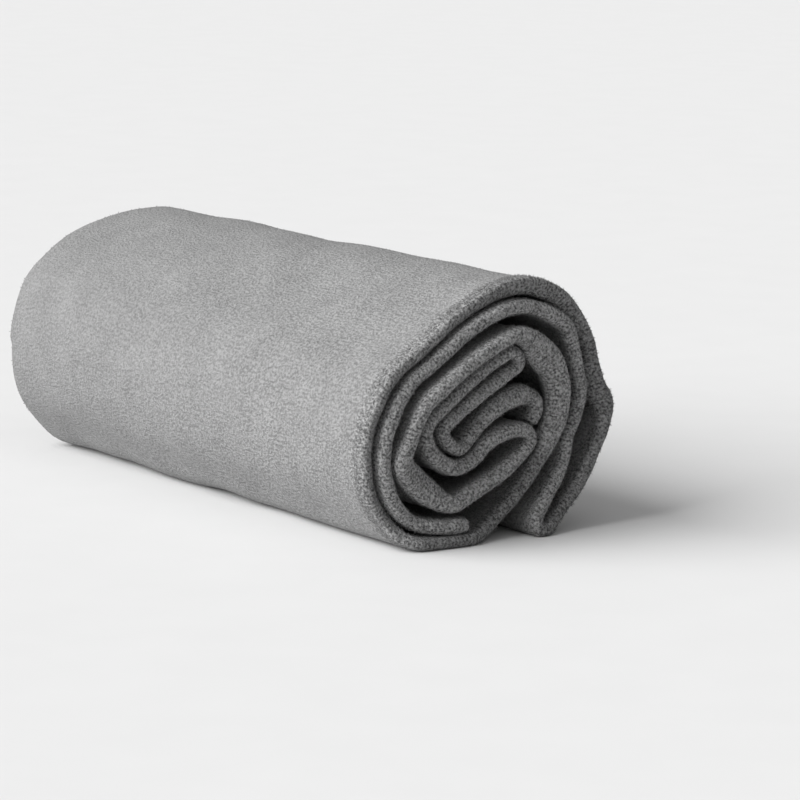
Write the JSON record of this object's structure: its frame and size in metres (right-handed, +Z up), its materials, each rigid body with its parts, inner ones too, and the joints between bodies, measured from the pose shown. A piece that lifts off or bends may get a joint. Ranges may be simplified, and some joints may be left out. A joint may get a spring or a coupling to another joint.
{
  "type": "rolled gym towel",
  "caption": "Plain soft gym towel, folded in half along its length, with its outer end turned back inside, wound into a loose oval roll that lies on its side.",
  "frame": {"origin": "middle of the bounding box's bottom face, on the surface that the roll rests on", "axes": "+X along the roll towards the end that shows the folded rim, +Z up, +Y to the right when that end is looked at"},
  "size_m": [0.2142, 0.0936, 0.0769],
  "materials": {
    "towel_cloth": "brushed short pile, dull, mid grey"
  },
  "bodies": {
    "root": {"towel_roll": "towel_cloth"}
  },
  "joints": []
}
